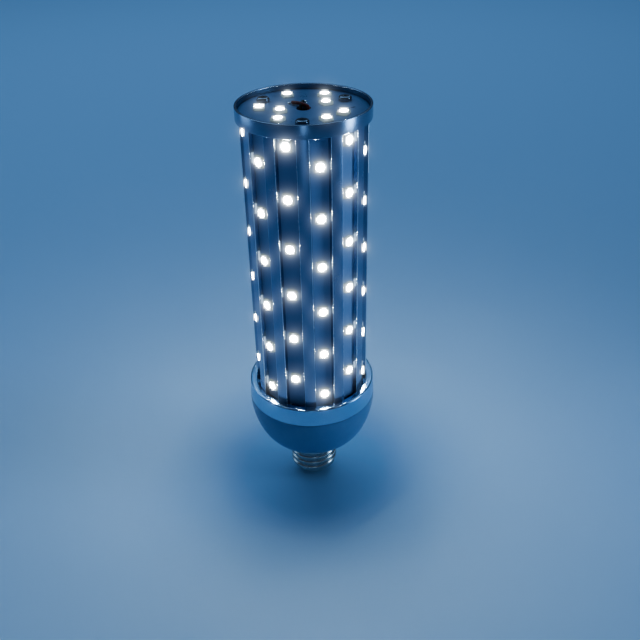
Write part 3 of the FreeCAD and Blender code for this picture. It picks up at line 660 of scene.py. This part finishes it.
def collar():
    """The collar, with a rounded outer edge on its ledge and an eased mouth."""
    seam, ledge = collar_low.z, collar_high.z
    radius = collar_high.x
    foot = ledge - SOCKET_DEPTH
    rim_bore = radius - COLLAR_WALL
    outline = [
        (radius, seam, SEAM_EASE),
        (LEDGE_RADIUS, ledge, COLLAR_EASE),
        (SOCKET_RADIUS, ledge, SOCKET_EASE),
        (SOCKET_RADIUS, foot, 0),
        (FLANGE_BORE, foot, 0),
        (FLANGE_BORE, foot - FLANGE_THICKNESS, 0),
        (rim_bore, foot - FLANGE_THICKNESS, 0),
        (rim_bore, seam, 0),
    ]
    piece = turned("collar", eased(outline))
    give(piece, COLLAR)
    return stand_for(piece, "collar_aluminium", "bottom_collar")


def quarter(radial, axial):
    """A quarter ellipse from the neck's floor up to the seam, as (radius, height) points."""
    seam = collar_low.z
    points = []
    for step in range(BOWL_STEPS + 1):
        turn = math.pi / 2 * step / BOWL_STEPS
        points.append((NECK_RADIUS + radial * math.sin(turn), seam - axial * math.cos(turn)))
    return points


def bowl():
    """The moulded bowl: an elliptical wall, a snap rim above and the cap's spigot below."""
    seam = collar_low.z
    radius = bowl_high.x
    rim = radius - COLLAR_WALL - SNAP_GAP
    outside = quarter(radius - NECK_RADIUS, seam)
    inside = quarter(radius - NECK_RADIUS - BOWL_WALL, seam - BOWL_WALL)
    outline = [(NECK_BORE, bowl_low.z), (SPIGOT_RADIUS, bowl_low.z), (SPIGOT_RADIUS, 0)]
    outline += [point for point in outside if point[1] < seam - SEAM_EASE]
    outline += eased([(radius, seam - 2 * SEAM_EASE, 0), (radius, seam, SEAM_EASE), (rim, seam, 0)])[1:]
    outline += [(rim, bowl_high.z), (rim - SNAP_WALL, bowl_high.z), (rim - SNAP_WALL, seam)]
    outline += reversed(inside)
    outline += [(NECK_BORE, BOWL_WALL)]
    piece = turned("bowl", [Vector(point) for point in outline])
    give(piece, BOWL)
    return stand_for(piece, "bowl_plastic", "bowl_housing")


def contact():
    """The centre contact, a low dome under a plate."""
    radius = contact_high.x
    dome, plate = contact_low.z, contact_high.z
    sphere = (radius ** 2 + DOME_HEIGHT ** 2) / (2 * DOME_HEIGHT)
    points = [Vector((0, plate)), Vector((radius, plate)), Vector((radius, dome + DOME_HEIGHT))]
    for step in range(1, DOME_STEPS + 1):
        x = radius * (1 - step / DOME_STEPS)
        points.append(Vector((x, dome + sphere - math.sqrt(sphere ** 2 - x ** 2))))
    piece = turned("contact", points, closed=False, steps=CONTACT_STEPS_ROUND)
    give(piece, CONTACT)
    return stand_for(piece, "contact_metal", "centre_contact")


def cut_away(piece, cutter):
    """Cuts one piece from another and deletes the cutter."""
    only(piece)
    cut = piece.modifiers.new("cut", "BOOLEAN")
    cut.operation = "DIFFERENCE"
    cut.object = cutter
    bpy.ops.object.modifier_apply(modifier=cut.name)
    bpy.data.objects.remove(cutter)


def drill(piece, radius, place, low, high):
    """Drills a round hole through a piece, upright, between two heights."""
    bpy.ops.object.select_all(action="DESELECT")
    bpy.ops.mesh.primitive_cylinder_add(
        vertices=HOLE_STEPS_ROUND, radius=radius, depth=high - low,
        location=(place.x, place.y, (low + high) / 2),
    )
    cut_away(piece, bpy.context.object)


def block(place, sides, turn=0.0):
    """A block at a place, turned about its upright, with all of that in its mesh."""
    bpy.ops.object.select_all(action="DESELECT")
    bpy.ops.mesh.primitive_cube_add(size=1, location=place, rotation=(0, 0, turn))
    piece = bpy.context.object
    piece.scale = sides
    bpy.ops.object.transform_apply(location=True, rotation=True, scale=True)
    return piece


def disc():
    """The round board, with eased edges, holes for its screws and its leads, and a small slot."""
    low, high = disc_low.z, disc_high.z
    radius = disc_high.x
    outline = [
        (0, low, 0),
        (radius, low, DISC_LOWER_EASE),
        (radius, high, DISC_UPPER_EASE),
        (0, high, 0),
    ]
    piece = turned("disc", eased(outline, DISC_EASE_STEPS), closed=False)
    for degrees in SCREW_ANGLES:
        drill(piece, SCREW_HOLE, around(SCREW_CIRCLE, math.radians(degrees)), low - MM, high + MM)
    drill(piece, DISC_HOLE, CENTRE, low - MM, high + MM)
    length, width, depth = DISC_SLOT
    cut_away(piece, block(around(*DISC_SLOT_PLACE, high), (length, width, 2 * depth), DISC_SLOT_TURN))
    only(piece)
    bpy.ops.object.shade_smooth_by_angle(angle=SMOOTH_UNDER)
    give(piece, DISC_MASK_PAINTED_SHADE)
    return stand_for(piece, "disc_mask", "disc_board")


def over_disc(point):
    """A point given in millimetres, with its height over the disc's face, in metres."""
    x, y, height = point
    return Vector((x, y, disc_high.z / MM + height)) * MM


def wire(name, points, radius):
    """A round wire through a few points."""
    bpy.ops.object.select_all(action="DESELECT")
    bpy.ops.curve.primitive_bezier_curve_add()
    piece = bpy.context.object
    curve = piece.data
    curve.dimensions = "3D"
    curve.bevel_depth = radius
    curve.bevel_resolution = WIRE_ROUNDNESS
    curve.resolution_u = WIRE_STEPS
    curve.use_fill_caps = True
    spline = curve.splines[0]
    spline.bezier_points.add(len(points) - 2)
    for knot, point in zip(spline.bezier_points, points):
        knot.co = over_disc(point)
        knot.handle_left_type = "AUTO"
        knot.handle_right_type = "AUTO"
    bpy.context.view_layer.update()
    bpy.ops.object.convert(target="MESH")
    piece = start(name)
    close_up()
    return finish_piece(piece, SMOOTH_MERGED)


def joined(name, pieces):
    """Several pieces as one."""
    only(pieces[0])
    for piece in pieces:
        piece.select_set(True)
    bpy.ops.object.join()
    pieces[0].name = name
    pieces[0].data.name = name
    return pieces[0]


def solder_blob(place, radius, height):
    """A small round-topped blob of solder, a little uneven."""
    bpy.ops.object.select_all(action="DESELECT")
    bpy.ops.mesh.primitive_uv_sphere_add(
        segments=SOLDER_STEPS_ROUND, ring_count=SOLDER_STEPS_UP, radius=1, location=CENTRE
    )
    piece = start("solder")
    mesh = bmesh.from_edit_mesh(piece.data)
    wave_x, wave_y = SOLDER_WAVES
    for vertex in mesh.verts:
        x, y, z = vertex.co
        swell = 1 + SOLDER_SWELL * math.sin(wave_x * x + SOLDER_PHASE) * math.cos(wave_y * y)
        tall = height if z > 0 else SOLDER_BELOW * height
        vertex.co = Vector((x * radius * swell, y * radius * swell, z * tall)) + over_disc(place)
    bmesh.update_edit_mesh(piece.data)
    piece = finish_piece(piece, SMOOTH_SOLDER)
    give(piece, SOLDER)
    return piece


def disc_lead(name, points, end_points, insulation):
    """One of the disc's leads: its insulation and, past that, its bared end."""
    cover = wire(name, points, WIRE_RADIUS)
    give(cover, insulation)
    bared = wire("bared_end", end_points, CONDUCTOR_RADIUS)
    give(bared, TIN)
    return joined(name, [cover, bared])


def disc_wiring():
    """The disc's two leads, red and dark, and their solder."""
    red = disc_lead("red_lead_of_disc", RED_LEAD, RED_END, RED)
    stand_for(red, "lead_red", "disc_lead_red")
    black = disc_lead("black_lead_of_disc", BLACK_LEAD, BLACK_END, BLACK)
    stand_for(black, "lead_black", "disc_lead_black")
    blobs = [solder_blob(RED_SOLDER, *RED_SOLDER_SIZE), solder_blob(BLACK_SOLDER, *BLACK_SOLDER_SIZE)]
    stand_for(joined("solder_of_disc", blobs), "solder", "disc_solder")


# LEDs


def led_package():
    """One LED that faces +Z with its back at the origin: a housing, a round lit window and six leads."""
    block((0, 0, LED_HEIGHT / 2), (LED_SIZE, LED_SIZE, LED_HEIGHT))
    piece = start("led_package")
    end = AT_END * LED_SIZE / 2
    pick_edges(piece, lambda middle: middle.x > end and middle.y > end)
    bpy.ops.mesh.bevel(offset=LED_CORNER_CUT, segments=1, affect="EDGES")
    pick_edges(piece, lambda middle: middle.z > AT_END * LED_HEIGHT)
    bpy.ops.mesh.bevel(offset=LED_EDGE, segments=LED_EDGE_STEPS, affect="EDGES")
    finish_piece(piece)
    bpy.ops.object.select_all(action="DESELECT")
    bpy.ops.mesh.primitive_cone_add(
        vertices=LED_WINDOW_STEPS_ROUND, depth=2 * LED_RECESS, location=(0, 0, LED_HEIGHT),
        radius1=LED_WINDOW * (1 - LED_WINDOW_FLARE), radius2=LED_WINDOW * (1 + LED_WINDOW_FLARE),
    )
    cut_away(piece, bpy.context.object)
    give(piece, *LED_FINISHES)
    window = LED_HEIGHT - LED_RECESS
    for face in piece.data.polygons:
        away = abs(face.center.z - window)
        if away < LED_RECESS / 10:
            face.material_index = WINDOW
        elif abs(face.normal.x) > FACING and away > LED_RECESS:
            face.material_index = SIDE
    leads = [led_lead(side, number) for side in (-1, 1) for number in (-1, 0, 1)]
    return joined("led_package", [piece, *leads])


def led_lead(side, number):
    """One bent tinned lead at the foot of an LED's side."""
    width, proud, height = LED_LEAD
    half = LED_SIZE / 2
    block((side * half, number * LED_LEAD_SPACING, height / 2), (2 * proud, width, height))
    piece = start("led_lead")
    outer = half + NEAR_END * proud
    pick_edges(piece, lambda middle: abs(middle.x) > outer and middle.z > NEAR_END * height)
    bpy.ops.mesh.bevel(offset=LED_EDGE, segments=LED_EDGE_STEPS, affect="EDGES")
    finish_piece(piece)
    give(piece, *LED_FINISHES)
    for face in piece.data.polygons:
        face.material_index = LEADS
    return piece


def placed_copies(name, master, places):
    """Copies of a master at several places, joined into one piece with its own mesh."""
    copies = []
    for place in places:
        copy = bpy.data.objects.new(name, master.data.copy())
        bpy.context.scene.collection.objects.link(copy)
        copy.data.transform(place)
        copies.append(copy)
    return joined(name, copies)


def facing_out(angle, radius, height):
    """The place of a thing made facing +Z that now faces out from the axis, with its +Y up."""
    outward = around(1, angle)
    across = AXIS.cross(outward)
    turn = Matrix((across, AXIS, outward)).transposed().to_4x4()
    return Matrix.Translation(outward * radius + AXIS * height) @ turn


def strip_led_pieces(master):
    """The LEDs of each strip, six to a piece."""
    for index, number in enumerate(STRIP_NUMBERS):
        node = "strip_leds_" + number
        low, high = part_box(node)
        first = low.z + LED_SIZE / 2
        step = (high.z - low.z - LED_SIZE) / (LEDS_PER_STRIP - 1)
        angle = index * STEP_ANGLE
        places = [facing_out(angle, strip_high.x, first + n * step) for n in range(LEDS_PER_STRIP)]
        piece = placed_copies("leds_" + number, master, places)
        stand_for(piece, "led_package", node)


def disc_led_piece(master):
    """The LEDs of the disc."""
    spots = [(DISC_OUTER_RADIUS, angle) for angle in DISC_OUTER_ANGLES]
    spots += [(DISC_INNER_RADIUS, angle) for angle in DISC_INNER_ANGLES]
    places = []
    for radius, degrees in spots:
        angle = math.radians(degrees)
        there = around(radius, angle, disc_high.z)
        places.append(Matrix.Translation(there) @ Matrix.Rotation(angle, 4, "Z"))
    piece = placed_copies("leds_of_disc", master, places)
    for face in piece.data.polygons:
        if face.material_index == SIDE:
            face.material_index = HOUSING
    stand_for(piece, "led_package", "disc_leds")


# Screws


def screw_master():
    """A cross-recessed pan-head screw: the underside of its head is at the origin, its shank down."""
    head, top, shank = SCREW_HEAD_RADIUS, SCREW_HEAD_HEIGHT, SCREW_SHANK_RADIUS
    outline = [
        (0, -SCREW_LENGTH, 0),
        (shank, SCREW_TIP * shank - SCREW_LENGTH, 0),
        (shank, 0, 0),
        (head, 0, SCREW_LOWER_EASE),
        (head, top, SCREW_UPPER_EASE),
        (0, top, 0),
    ]
    piece = turned("screw", eased(outline, SCREW_EASE_STEPS), closed=False, steps=SCREW_STEPS_ROUND)
    for turn in (0, math.pi / 2):
        bpy.ops.object.select_all(action="DESELECT")
        bpy.ops.mesh.primitive_cone_add(
            vertices=4, radius1=CROSS_TIP, radius2=CROSS_MOUTH, depth=CROSS_HEIGHT,
            location=(0, 0, top - CROSS_SINK), rotation=(0, 0, math.pi / 4),
        )
        cutter = bpy.context.object
        bpy.ops.object.transform_apply(location=False, rotation=True, scale=False)
        cutter.scale = CROSS_STRETCH
        cutter.rotation_euler = (0, 0, turn)
        bpy.ops.object.transform_apply(location=True, rotation=True, scale=True)
        cut_away(piece, cutter)
    only(piece)
    bpy.ops.object.shade_smooth_by_angle(angle=SMOOTH_UNDER)
    give(piece, STEEL)
    return piece


def screw_pieces(master):
    """The screws on the disc and, upside down, those under the collar's flange."""
    flange_bottom = collar_high.z - SOCKET_DEPTH - FLANGE_THICKNESS
    upside_down = Matrix.Rotation(math.pi, 4, "X")
    on_disc, under_flange = [], []
    for degrees in SCREW_ANGLES:
        angle = math.radians(degrees)
        turn = Matrix.Rotation(SCREW_TURN * angle, 4, "Z")
        on_disc.append(Matrix.Translation(around(SCREW_CIRCLE, angle, disc_high.z)) @ turn)
        below = Matrix.Translation(around(SCREW_CIRCLE, angle, flange_bottom))
        under_flange.append(below @ upside_down @ turn)
    stand_for(placed_copies("screws_of_disc", master, on_disc), "screw_steel", "disc_screws")
    stand_for(placed_copies("screws_of_collar", master, under_flange), "screw_steel", "collar_screws")


def body():
    """The extrusion, with the fine rounding that its edges have and a painted highlight on the outer edges of
    its lips.
    """
    piece = merged_copy("body", "heat_sink")
    only(piece)
    bpy.ops.object.mode_set(mode="EDIT")
    bpy.ops.mesh.select_all(action="SELECT")
    bpy.ops.mesh.dissolve_limited(angle_limit=BODY_FLAT_UNDER)
    bpy.ops.object.mode_set(mode="OBJECT")
    rounding = piece.modifiers.new("rounding", "BEVEL")
    rounding.width = BODY_EDGE
    rounding.segments = BODY_EDGE_STEPS
    rounding.limit_method = "ANGLE"
    rounding.angle_limit = BODY_EDGE_OVER
    rounding.harden_normals = False
    bpy.ops.object.modifier_apply(modifier=rounding.name)
    bpy.ops.object.shade_smooth_by_angle(angle=SMOOTH_MERGED)
    give(piece, EXTRUSION, LIP)
    # The faces near the lips' outer edges take the second finish, a painted highlight
    reach = max(vertex.co.xy.length for vertex in piece.data.vertices)
    for face in piece.data.polygons:
        spot = Vector((face.center.x, face.center.y, 0))
        slant = abs(face.normal.dot(spot.normalized()))
        if spot.length > reach - LIP_HIGHLIGHT_BAND and slant < LIP_HIGHLIGHT_SLANT and abs(face.normal.z) < LIP_HIGHLIGHT_SLANT:
            face.material_index = SECOND
    stand_for(piece, "body_aluminium", "heat_sink")


def merged_pieces():
    """The pieces that keep their CAD form, merged so that they shade smooth."""
    rows = [
        ("cap_shell", "screw_cap_shell", "cap_nickel", NICKEL),
        ("cap_glass", "cap_insulator", "insulator_black", DARK_GLASS),
        ("jumpers_at_top", "top_jumpers", "jumper_white", WHITE),
        ("jumpers_at_foot", "foot_jumpers", "jumper_white", WHITE),
    ]
    for name, node, slot, material in rows:
        piece = merged_copy(name, node)
        give(piece, material)
        stand_for(piece, slot, node)


def dress_nodes():
    """Materials for the CAD nodes that are shown as they are."""
    finishes = {
        "strip_lead_red": RED,
        "strip_lead_black": BLACK,
        "live_lead": RED,
        "neutral_lead": BLACK,
        "driver_sleeve": SLEEVE,
        "driver_board": GREEN_MASK,
        "driver_fuse": LACQUER,
        "driver_film_capacitor": YELLOW_BOX,
        "driver_choke": FERRITE,
        "driver_capacitor": CAN_SLEEVE,
        "driver_transformer_core": FERRITE,
        "driver_transformer_winding": TAPE,
        "driver_rectifier": CHIP,
        "driver_controller": CHIP,
    }
    for number in STRIP_NUMBERS:
        finishes["led_strip_" + number] = STRIP_MASK_PAINTED_SHADE
    for node, material in finishes.items():
        give(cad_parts[node], material)


# The stage


def floor():
    """A plain pale floor just under the lamp's contact."""
    bpy.ops.object.select_all(action="DESELECT")
    bpy.ops.mesh.primitive_plane_add(size=FLOOR_SIZE, location=(0, 0, contact_low.z - FLOOR_GAP))
    piece = bpy.context.object
    piece.name = "floor"
    material = bpy.data.materials.new("pale_floor")
    material.use_nodes = True
    shader = material.node_tree.nodes["Principled BSDF"]
    shader.inputs["Base Color"].default_value = FLOOR_COLOUR
    shader.inputs["Roughness"].default_value = FLOOR_ROUGHNESS
    give(piece, material)


def softbox(name, place, toward, size, power):
    """A soft rectangular light at a place, which shines toward somewhere and isn't seen itself."""
    data = bpy.data.lights.new(name, "AREA")
    data.shape = "RECTANGLE"
    data.size, data.size_y = size
    data.energy = power
    data.color = COOL
    lamp = bpy.data.objects.new(name, data)
    bpy.context.scene.collection.objects.link(lamp)
    lamp.location = place
    lamp.rotation_euler = toward.to_track_quat("-Z", "Y").to_euler()
    lamp.visible_camera = False
    return data


def studio():
    """An overhead softbox, upright strips of soft light on the floor, and the world behind them."""
    toward = Vector(OVERHEAD_AIM) - Vector(OVERHEAD_PLACE)
    softbox("overhead", OVERHEAD_PLACE, toward, OVERHEAD_SIZE, OVERHEAD_POWER)
    for name, degrees, distance, width, height, power in STRIP_LIGHTS:
        outward = around(1, math.radians(degrees))
        place = outward * distance + AXIS * (height / 2)
        softbox(name, place, -outward, (width, height), power).spread = STRIP_LIGHT_SPREAD
    world = bpy.data.worlds.new("studio")
    world.use_nodes = True
    background = world.node_tree.nodes["Background"]
    background.inputs["Color"].default_value = WORLD_COLOUR
    background.inputs["Strength"].default_value = WORLD_STRENGTH
    bpy.context.scene.world = world


def camera():
    """The camera, at the photograph's viewing angle."""
    data = bpy.data.cameras.new("camera")
    data.lens = CAMERA_LENS
    data.sensor_width = CAMERA_SENSOR
    data.clip_start = CAMERA_NEAREST
    piece = bpy.data.objects.new("camera", data)
    bpy.context.scene.collection.objects.link(piece)
    piece.location = CAMERA_PLACE
    piece.rotation_euler = CAMERA_TURN
    bpy.context.scene.camera = piece


def halo():
    """The soft halo that the lit LEDs have in the photograph, and its contrast."""
    scene = bpy.context.scene
    scene.view_settings.view_transform = "AgX"
    scene.view_settings.look = "AgX - High Contrast"
    scene.use_nodes = True
    tree = scene.node_tree
    glare = add(tree, "CompositorNodeGlare", glare_type="BLOOM")
    for name, value in HALO.items():
        glare.inputs[name].default_value = value
    tree.links.new(tree.nodes["Render Layers"].outputs["Image"], glare.inputs["Image"])
    tree.links.new(glare.outputs["Image"], tree.nodes["Composite"].inputs["Image"])


studio()
camera()
halo()
floor()
top_ring()
collar()
bowl()
contact()
disc()
disc_wiring()
led = led_package()
strip_led_pieces(led)
disc_led_piece(led)
bpy.data.objects.remove(led)
screw = screw_master()
screw_pieces(screw)
bpy.data.objects.remove(screw)
body()
merged_pieces()
dress_nodes()

bpy.context.view_layer.update()
